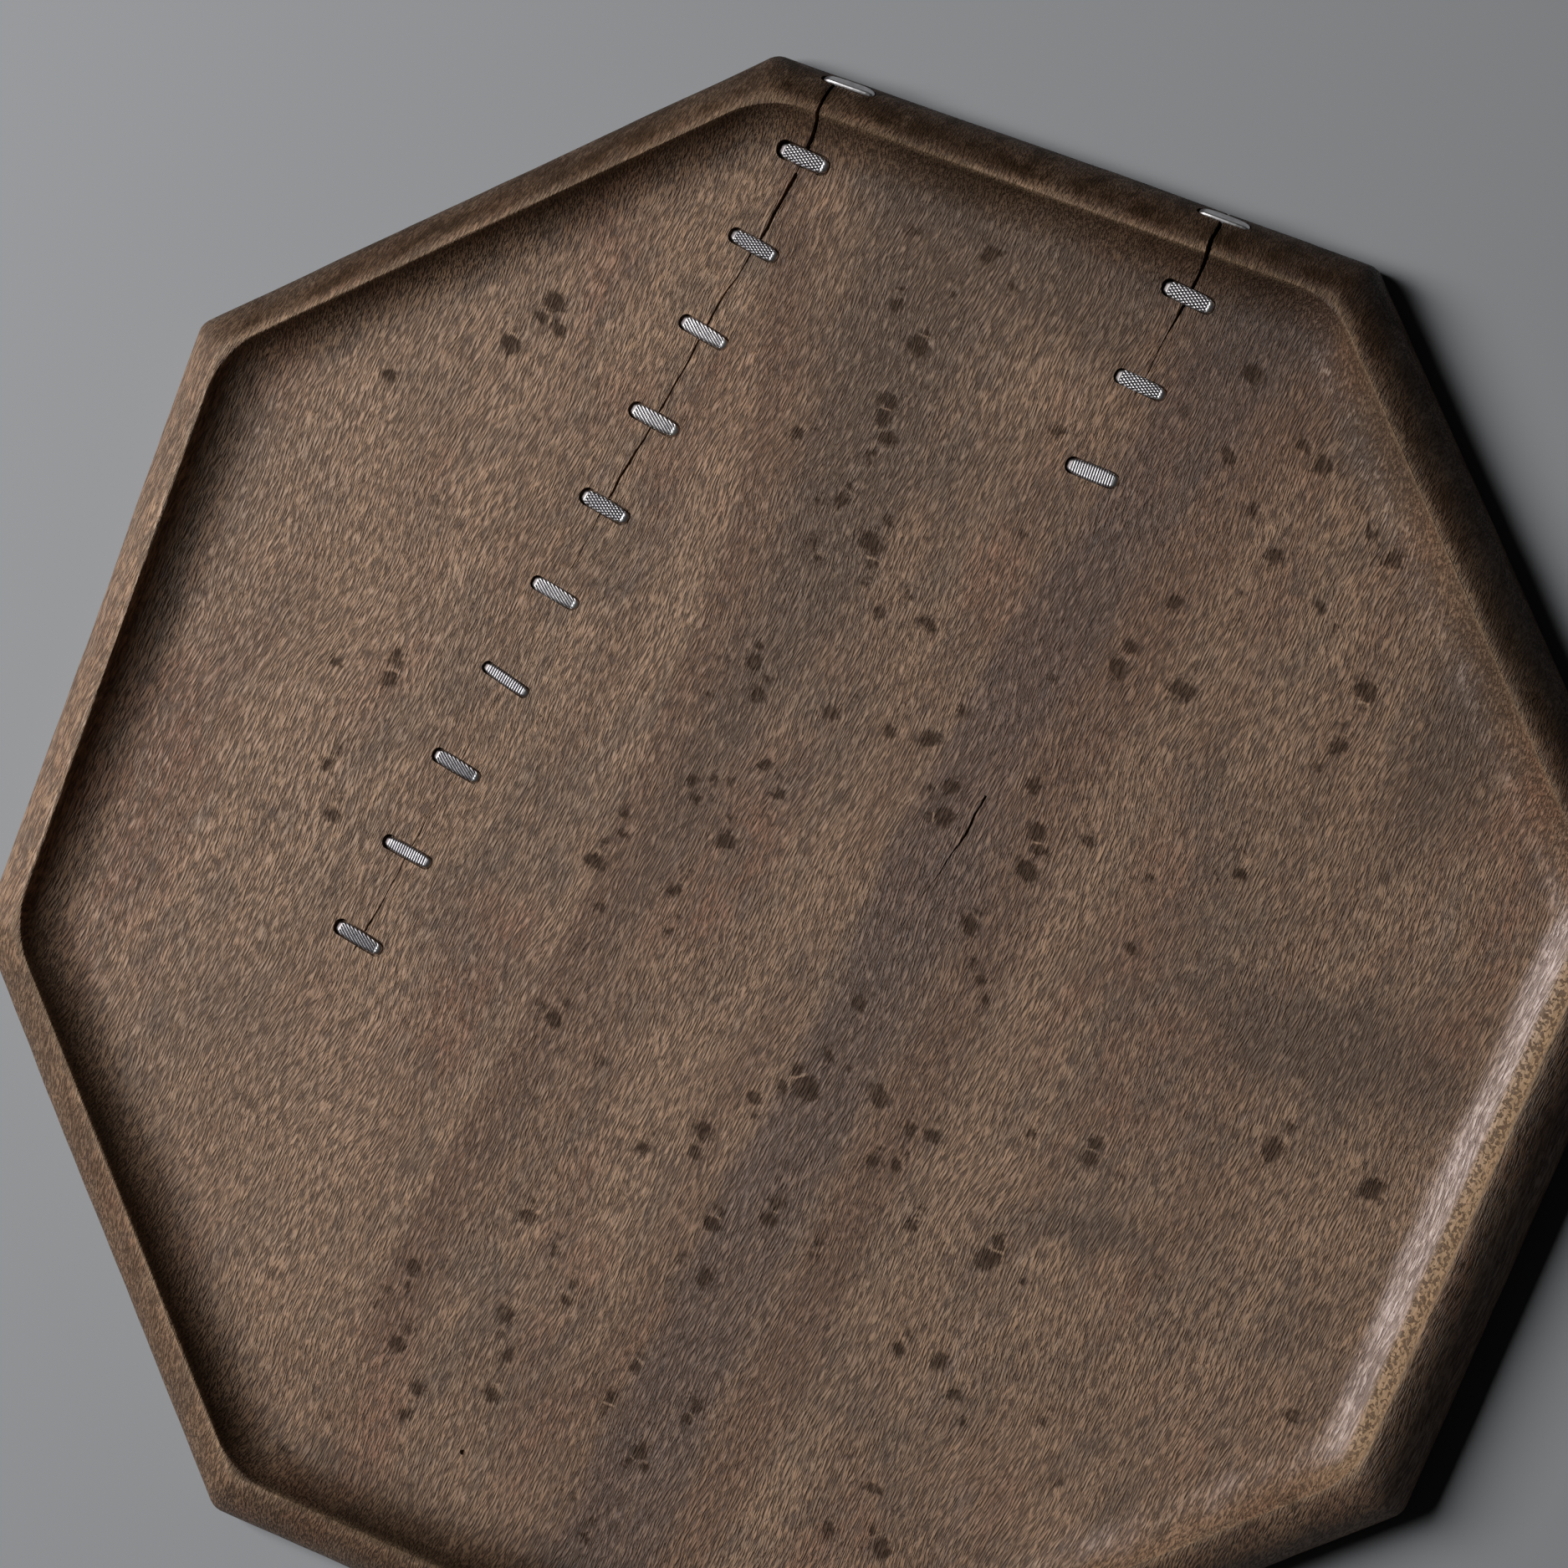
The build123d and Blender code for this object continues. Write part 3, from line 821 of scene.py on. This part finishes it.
def leg(x):
    """A flat leg that narrows to its point."""
    piece = bar(LEG_THICKNESS, LEG_WIDTH, LEG_BOTTOM, LEG_TOP, x)
    edit(piece)
    pick("FACE", lambda f: f.normal.z < -LEVEL)
    bpy.ops.transform.resize(value=(0.35, 0.5, 1), center_override=(x * MM, 0, LEG_BOTTOM * MM))
    pick("EDGE", lambda e: abs((e.verts[0].co - e.verts[1].co).normalized().z) > 0.8)
    bpy.ops.mesh.bevel(offset=0.2 * MM, segments=2, affect="EDGES")
    bpy.ops.object.mode_set(mode="OBJECT")
    return piece


for crown in CROWNS.values():
    legs = [leg(-LEG_PLACE), leg(LEG_PLACE)]
    only(crown)
    for piece in legs:
        piece.select_set(True)
    bpy.context.view_layer.objects.active = crown
    bpy.ops.object.join()
    bpy.ops.object.shade_smooth_by_angle(angle=radians(50))

rng = np.random.default_rng(11)
for name, place, width, kind, dulled in STAPLES:
    only(CROWNS[kind])
    bpy.ops.object.duplicate()
    piece = bpy.context.object
    piece.name = f"silver_{name}"
    modify(piece, "SIMPLE_DEFORM", deform_method="TAPER", deform_axis="X", lock_z=True,
           factor=rng.uniform(-0.05, 0.22))
    lean = Matrix.Rotation(radians(rng.uniform(-2.0, 2.0)), 4, "X")
    lean @= Matrix.Rotation(radians(rng.uniform(-0.8, 0.8)), 4, "Y")
    size = Matrix.Diagonal((rng.uniform(0.98, 1.01), width / CROWN_WIDTH, 1, 1))
    piece.matrix_world = place @ lean @ size
    settle(piece)
    store(piece, "dulled", np.full(len(piece.data.vertices), dulled))
    staple_pieces[name] = piece
for crown in CROWNS.values():
    bpy.data.objects.remove(crown)
print(len(staple_pieces), "staples placed")

# %% [markdown]
# ## Node helpers
#
# A material is a small tree of nodes. These helpers add one node, feed its inputs with
# numbers or with other nodes' outputs, and give back its output, so that a finish can be
# read as a few sums.

# %% Node helpers
def feed(tree, socket, value):
    if isinstance(value, bpy.types.NodeSocket):
        tree.links.new(value, socket)
    else:
        socket.default_value = value


def sums(tree, operation, *values):
    node = tree.nodes.new("ShaderNodeMath")
    node.operation = operation
    for socket, value in zip(node.inputs, values):
        feed(tree, socket, value)
    return node.outputs[0]


def times(tree, vector, scale):
    node = tree.nodes.new("ShaderNodeVectorMath")
    node.operation = "MULTIPLY"
    feed(tree, node.inputs[0], vector)
    node.inputs[1].default_value = scale
    return node.outputs[0]


def fade(tree, value, start, end, low=0.0, high=1.0):
    """A soft step: low at start, high at end."""
    node = tree.nodes.new("ShaderNodeMapRange")
    node.interpolation_type = "SMOOTHSTEP"
    for socket, number in zip(node.inputs, (value, start, end, low, high)):
        feed(tree, socket, number)
    return node.outputs[0]


def blend_colours(tree, amount, first, second):
    node = tree.nodes.new("ShaderNodeMix")
    node.data_type = "RGBA"
    feed(tree, node.inputs[0], amount)
    feed(tree, node.inputs[6], first)
    feed(tree, node.inputs[7], second)
    return node.outputs[2]


def noise(tree, vector, scale=1.0, detail=2.0, rough=0.5, twist=0.0):
    node = tree.nodes.new("ShaderNodeTexNoise")
    feed(tree, node.inputs["Vector"], vector)
    node.inputs["Scale"].default_value = scale
    node.inputs["Detail"].default_value = detail
    node.inputs["Roughness"].default_value = rough
    node.inputs["Distortion"].default_value = twist
    return node.outputs["Fac"]


def in_millimetres(tree, turn=0.0):
    """The piece's own coordinates in millimetres, turned so that X runs at an angle."""
    place = tree.nodes.new("ShaderNodeTexCoord")
    mapping = tree.nodes.new("ShaderNodeMapping")
    tree.links.new(place.outputs["Object"], mapping.inputs["Vector"])
    mapping.inputs["Scale"].default_value = (1000, 1000, 1000)
    mapping.inputs["Rotation"].default_value = (0, 0, -radians(turn))
    return mapping.outputs["Vector"]


def bump(tree, height, depth, normal=None):
    node = tree.nodes.new("ShaderNodeBump")
    node.inputs["Strength"].default_value = 1.0
    node.inputs["Distance"].default_value = depth * MM
    tree.links.new(height, node.inputs["Height"])
    if normal:
        tree.links.new(normal, node.inputs["Normal"])
    return node.outputs["Normal"]


def stored(tree, name):
    """A value that the piece's points store."""
    node = tree.nodes.new("ShaderNodeAttribute")
    node.attribute_name = name
    return node.outputs["Fac"]


def new_finish(name):
    material = bpy.data.materials.new(name)
    material.use_nodes = True
    return material, material.node_tree, material.node_tree.nodes["Principled BSDF"]


# %% [markdown]
# ## Old figured wood
#
# Under a slanting light the surface looks like short fur: flecks about three millimetres
# long, all lying along the grain, are both a colour and a relief, and their colour also
# paints the shade in their grooves and the light on their ridges. Broad cloudy tones, the
# mineral streak and the dark eyes are mixed with that. The noise is stretched along the
# grain by dividing the turned coordinates by a fleck's length and width.

# %% The wood's coordinates
GRAIN_ANGLE = 60
FLECK_ANGLE = 64
wood, tree, shader = new_finish("old_figured_wood")
plain = in_millimetres(tree)


def wavy(tree, angle, scale, amount):
    """Coordinates turned to an angle, whose lines wander a little to each side."""
    turned = in_millimetres(tree, angle)
    wander = noise(tree, plain, scale, 1.0)
    parts = tree.nodes.new("ShaderNodeSeparateXYZ")
    tree.links.new(turned, parts.inputs[0])
    joined = tree.nodes.new("ShaderNodeCombineXYZ")
    tree.links.new(parts.outputs["X"], joined.inputs["X"])
    feed(tree, joined.inputs["Y"], sums(tree, "MULTIPLY_ADD", wander, amount, parts.outputs["Y"]))
    tree.links.new(parts.outputs["Z"], joined.inputs["Z"])
    return joined.outputs[0]


along_grain = wavy(tree, GRAIN_ANGLE, 1 / 70, 16.0)
along_fleck = wavy(tree, FLECK_ANGLE, 1 / 45, 9.0)

# %% Fleck, pore and cloud patterns
fleck = noise(tree, times(tree, along_fleck, (1 / 3.3, 1 / 0.38, 1)), 1.0, 1.6, 0.55, 0.1)
hair = noise(tree, times(tree, along_fleck, (1 / 4.2, 1 / 0.75, 1)), 1.0, 1.0, 0.5, 0.3)
pore = noise(tree, times(tree, along_grain, (1 / 9, 1 / 0.5, 1 / 0.8)), 1.0, 2.0, 0.6)
streaks = noise(tree, times(tree, along_grain, (1 / 110, 1 / 15, 1 / 15)), 1.0, 3.0, 0.6)
clouds = noise(tree, plain, 1 / 30, 4.0, 0.55)
mottle = noise(tree, times(tree, along_grain, (1 / 14, 1 / 7, 1 / 7)), 1.0, 3.0, 0.6, 0.6)
warmth = noise(tree, times(tree, along_grain, (1 / 50, 1 / 24, 1 / 24)), 1.0, 3.0, 0.55)

# %% Ground colour
def over(tree, ground, amount, strength, colour):
    """Lays a colour over the ground, where the amount says and as strongly as given."""
    return blend_colours(tree, sums(tree, "MULTIPLY", amount, strength), ground, colour)


def over_each(tree, ground, layers):
    """Lays colours over the ground. Each fades in as its pattern goes from start to end."""
    for pattern, start, end, strength, colour in layers:
        ground = blend_colours(tree, fade(tree, pattern, start, end, 0.0, strength), ground, colour)
    return ground


PALE = (0.450, 0.272, 0.160, 1)
DEEP = (0.255, 0.136, 0.072, 1)
GREY = (0.190, 0.130, 0.086, 1)
RED = (0.315, 0.132, 0.070, 1)
ground = over_each(tree, PALE, [
    (streaks, 0.40, 0.68, 0.75, DEEP), (warmth, 0.50, 0.70, 0.60, RED),
    (clouds, 0.48, 0.70, 0.65, GREY), (mottle, 0.46, 0.68, 0.60, GREY),
    (mottle, 0.45, 0.30, 0.50, PALE)])

# %% Clouds, band and streak, with ragged edges
VIOLET = (0.092, 0.056, 0.045, 1)
SHADE = (0.140, 0.087, 0.052, 1)
BROWN = (0.200, 0.098, 0.050, 1)
edge_wander = noise(tree, times(tree, along_grain, (1 / 40, 1 / 9, 1 / 9)), 1.0, 4.0, 0.65)
fine_lines = fade(tree, pore, 0.35, 0.65, 0.6, 1.0)


def with_ragged_edge(tree, value, amount):
    return sums(tree, "MULTIPLY_ADD", sums(tree, "SUBTRACT", edge_wander, 0.5), amount, value)


cloudy = with_ragged_edge(tree, stored(tree, "clouded"), 0.55)
brown = with_ragged_edge(tree, stored(tree, "brown"), 0.45)
ground = over_each(tree, ground, [
    (cloudy, 0.02, 0.50, 0.90, SHADE), (cloudy, -0.05, -0.5, 0.80, PALE),
    (brown, 0.2, 0.9, 0.75, BROWN)])
in_streak = fade(tree, with_ragged_edge(tree, stored(tree, "streak"), 1.3), 0.2, 1.05, 0.0, 0.90)
ground = over(tree, ground, in_streak, fine_lines, VIOLET)

# %% Flecks over it
# The dark groove and strand colours are partly the wood's own and partly painted shade of the fleck
# relief; the pale fleck colour is partly painted light on its ridges.
GROOVE_SHADE_COLOUR = (0.080, 0.042, 0.024, 1)
STRAND_SHADE_COLOUR = (0.075, 0.040, 0.024, 1)
PALE_FLECK_AND_LIGHT_COLOUR = (0.62, 0.40, 0.27, 1)
PORE_COLOUR = (0.160, 0.092, 0.058, 1)
groove_shade = fade(tree, fleck, 0.54, 0.40)
strand = fade(tree, sums(tree, "ABSOLUTE", sums(tree, "SUBTRACT", hair, 0.5)), 0.055, 0.015)
ground = over(tree, ground, groove_shade, 0.80, GROOVE_SHADE_COLOUR)
ground = over(tree, ground, strand, 0.45, STRAND_SHADE_COLOUR)
ground = over_each(tree, ground, [
    (fleck, 0.54, 0.70, 0.36, PALE_FLECK_AND_LIGHT_COLOUR), (pore, 0.62, 0.40, 0.18, PORE_COLOUR)])

# %% Eyes, with a pale seam where two meet
CORE_COLOUR = (0.056, 0.033, 0.021, 1)
SEAM_COLOUR = (0.50, 0.32, 0.20, 1)
ragged = sums(tree, "SUBTRACT", noise(tree, plain, 1 / 2.2, 2.0, 0.6, 1.0), 0.5)
first = sums(tree, "MULTIPLY_ADD", ragged, 0.85, stored(tree, "first_eyes"))
second = sums(tree, "MULTIPLY_ADD", ragged, 0.75, stored(tree, "second_eyes"))
core = fade(tree, sums(tree, "MAXIMUM", first, second), 0.14, 0.58, 0.0, 0.94)
core = sums(tree, "MULTIPLY", core, fade(tree, fleck, 0.38, 0.66, 1.0, 0.78))
seam = fade(tree, sums(tree, "ABSOLUTE", sums(tree, "SUBTRACT", first, second)), 0.22, 0.03)
seam = sums(tree, "MULTIPLY", seam, fade(tree, sums(tree, "MINIMUM", first, second), 0.14, 0.36))
core = sums(tree, "MULTIPLY", core, sums(tree, "SUBTRACT", 1.0, seam))
ground = blend_colours(tree, core, ground, CORE_COLOUR)
ground = over(tree, ground, seam, 0.45, SEAM_COLOUR)

# %% Lit wall with painted light and sheen, darker rim with painted shade, painted shade under the crest, rubbed crest with a painted highlight
PAINTED_SHEEN_COLOUR = (0.74, 0.57, 0.51, 1)
END_GRAIN_AND_LIGHT_COLOUR = (0.50, 0.32, 0.17, 1)
PIT_COLOUR = (0.10, 0.052, 0.024, 1)
HANDLED_AND_SHADE_COLOUR = (0.034, 0.017, 0.007, 1)
CREST_SHADE_COLOUR = (0.020, 0.011, 0.006, 1)
RUBBED_AND_HIGHLIGHT_COLOUR = (0.42, 0.28, 0.17, 1)
end_grain_and_light = with_ragged_edge(tree, stored(tree, "end_grain_and_light"), 0.3)
polish_and_painted_sheen = with_ragged_edge(tree, stored(tree, "polish_and_painted_sheen"), 1.3)
polish_and_painted_sheen = fade(tree, polish_and_painted_sheen, 0.1, 1.0)
polish_and_painted_sheen = sums(tree, "MULTIPLY", polish_and_painted_sheen, fade(tree, clouds, 0.36, 0.60, 1.0, 0.6))
polish_and_painted_sheen = sums(tree, "MULTIPLY", polish_and_painted_sheen, fade(tree, fleck, 0.36, 0.56, 0.5, 1.0))
pits = times(tree, along_grain, (1, 1 / 1.7, 1 / 1.2))
pits = fade(tree, noise(tree, pits, 1.0, 1.0, 0.5, 0.6), 0.52, 0.42)
# Painted sheen where the lit wall turns to the floor.
ground = over(tree, ground, polish_and_painted_sheen, 0.85, PAINTED_SHEEN_COLOUR)
end_grain_and_light = fade(tree, end_grain_and_light, 0.2, 0.9)
# Pale end grain, partly painted light; its dark pits are the wood's own.
ground = over(tree, ground, end_grain_and_light, 0.60, END_GRAIN_AND_LIGHT_COLOUR)
pits = sums(tree, "MULTIPLY", end_grain_and_light, pits)
ground = over(tree, ground, pits, 0.85, PIT_COLOUR)
# The rolled rim is darker: partly handled wood, partly painted shade.
handled_and_shaded = sums(tree, "MULTIPLY", stored(tree, "handled_and_shaded"), fade(tree, mottle, 0.35, 0.62, 1.0, 0.70))
ground = blend_colours(tree, handled_and_shaded, ground, HANDLED_AND_SHADE_COLOUR)
# Painted shade under the crest.
crest_shade = sums(tree, "MULTIPLY", stored(tree, "crest_shade"), fade(tree, clouds, 0.3, 0.7, 1.0, 0.8))
ground = blend_colours(tree, crest_shade, ground, CREST_SHADE_COLOUR)
# Rubbed crest with a painted highlight.
rubbed_and_highlit = sums(tree, "MULTIPLY", stored(tree, "rubbed_and_highlit"), fade(tree, pore, 0.3, 0.7, 0.15, 0.55))
ground = blend_colours(tree, rubbed_and_highlit, ground, RUBBED_AND_HIGHLIGHT_COLOUR)
feed(tree, shader.inputs["Base Color"], ground)

# %% Sheen and relief of the wood
sheen = fade(tree, fleck, 0.3, 0.7, 0.60, 0.47)
feed(tree, shader.inputs["Roughness"], sums(tree, "MULTIPLY_ADD", polish_and_painted_sheen, -0.12, sheen))
dull = sums(tree, "MAXIMUM", sums(tree, "MAXIMUM", handled_and_shaded, crest_shade), core)
feed(tree, shader.inputs["Specular IOR Level"], fade(tree, dull, 0.0, 1.0, 0.50, 0.12))
relief = bump(tree, fade(tree, fleck, 0.34, 0.60), 0.20)
relief = bump(tree, strand, -0.08, relief)
relief = bump(tree, pore, 0.04, relief)
relief = bump(tree, core, -0.12, relief)
relief = bump(tree, pits, -0.18, relief)
tree.links.new(relief, shader.inputs["Normal"])
tray.data.materials.clear()
tray.data.materials.append(wood)
print("wood:", len(tree.nodes), "nodes")

# %% [markdown]
# ## Hammered silver
#
# The staples are old silver: bright on top, dark in the grooves from tarnish and painted
# shade, with faint scratches and a little tarnish. Each has dulled by its own amount, and
# the end that dips into the wider part of its bed has painted shade. A metal with middling
# roughness is enough.

# %% Silver
BRIGHT = (0.93, 0.91, 0.90, 1)
TARNISHED = (0.66, 0.64, 0.65, 1)
DULLED_COLOUR = (0.30, 0.29, 0.31, 1)
FAR_END_SHADE_COLOUR = (0.12, 0.10, 0.10, 1)
PRESSED_TARNISH_AND_SHADE_COLOUR = (0.10, 0.09, 0.11, 1)
silver, tree, shader = new_finish("hammered_silver")
plain = in_millimetres(tree)
tarnish = noise(tree, plain, 1 / 1.6, 3.0, 0.6)
scratch = noise(tree, times(tree, plain, (1 / 0.9, 1 / 0.12, 1 / 0.3)), 1.0, 2.0, 0.6)
shader.inputs["Metallic"].default_value = 1.0
bright = blend_colours(tree, fade(tree, tarnish, 0.35, 0.75), BRIGHT, TARNISHED)
bright = blend_colours(tree, stored(tree, "dulled"), bright, DULLED_COLOUR)
# Painted shade at the end that dips into the wider part of its bed.
far_end = fade(tree, stored(tree, "far_end"), 0.0, 0.8, 0.0, 0.92)
bright = blend_colours(tree, far_end, bright, FAR_END_SHADE_COLOUR)
# Dark grooves: tarnish and painted shade.
pressed = fade(tree, stored(tree, "pressed"), 0.45, 1.25, 0.0, 0.80)
feed(tree, shader.inputs["Base Color"], blend_colours(tree, pressed, bright, PRESSED_TARNISH_AND_SHADE_COLOUR))
feed(tree, shader.inputs["Roughness"], fade(tree, tarnish, 0.3, 0.7, 0.38, 0.5))
tree.links.new(bump(tree, scratch, 0.006), shader.inputs["Normal"])
for piece in staple_pieces.values():
    piece.data.materials.clear()
    piece.data.materials.append(silver)
print("silver:", len(tree.nodes), "nodes")

# %% [markdown]
# ## Floor, light and camera
#
# A plain pale floor, one large soft light on the left, slanting down over the carving, and
# a faint even fill. The camera looks almost straight down with a long lens.

# %% Floor
BELOW_BASE = 0.3        # mm, so that floor and base don't coincide
start_clean()
bpy.ops.mesh.primitive_plane_add(size=8, location=(0, 0, -BELOW_BASE * MM))
studio_floor = bpy.context.object
studio_floor.name = "studio_floor"
pale, tree, shader = new_finish("pale_floor")
shader.inputs["Base Color"].default_value = (0.34, 0.35, 0.365, 1)
shader.inputs["Roughness"].default_value = 0.8
studio_floor.data.materials.append(pale)

# %% Light
KEY_AZIMUTH = radians(160)
KEY_ELEVATION = radians(46)
KEY_DISTANCE = 1.6
KEY_SIZE = (0.70, 0.90)
KEY_ENERGY = 25
FILL_COLOUR = (0.95, 0.98, 1.0, 1)
FILL_STRENGTH = 0.006
aim = Vector((0, 0, 0.01))
toward = Vector((cos(KEY_AZIMUTH) * cos(KEY_ELEVATION), sin(KEY_AZIMUTH) * cos(KEY_ELEVATION),
                 sin(KEY_ELEVATION)))
bpy.ops.object.light_add(type="AREA", location=aim + toward * KEY_DISTANCE,
                         rotation=toward.to_track_quat("Z", "Y").to_euler())
key = bpy.context.object
key.name = "key_light"
key.data.shape = "RECTANGLE"
key.data.size, key.data.size_y = KEY_SIZE
key.data.energy = KEY_ENERGY
world = bpy.data.worlds.new("studio")
bpy.context.scene.world = world
world.use_nodes = True
fill = world.node_tree.nodes["Background"]
fill.inputs["Color"].default_value = FILL_COLOUR
fill.inputs["Strength"].default_value = FILL_STRENGTH

# %% Camera
CAMERA_PLACE = (0.2008, -0.0354, 0.9864)
LENS = 100.9
SENSOR = 36
look = Vector((-0.2021, 0.061, -0.9775)).normalized()
up = Vector((0.0195, 0.9981, 0.0582))
right = look.cross(up).normalized()
up = right.cross(look)
turn = Matrix((right, up, -look)).transposed()
bpy.ops.object.camera_add(location=CAMERA_PLACE, rotation=turn.to_euler())
camera = bpy.context.object
camera.data.lens = LENS
camera.data.sensor_width = SENSOR
bpy.context.scene.camera = camera
bpy.context.scene.view_settings.view_transform = "Standard"

# %% Say what each piece stands for
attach(tray, "root")
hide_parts("tray_body")
for name, piece in staple_pieces.items():
    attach(piece, "root")
    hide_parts(name)
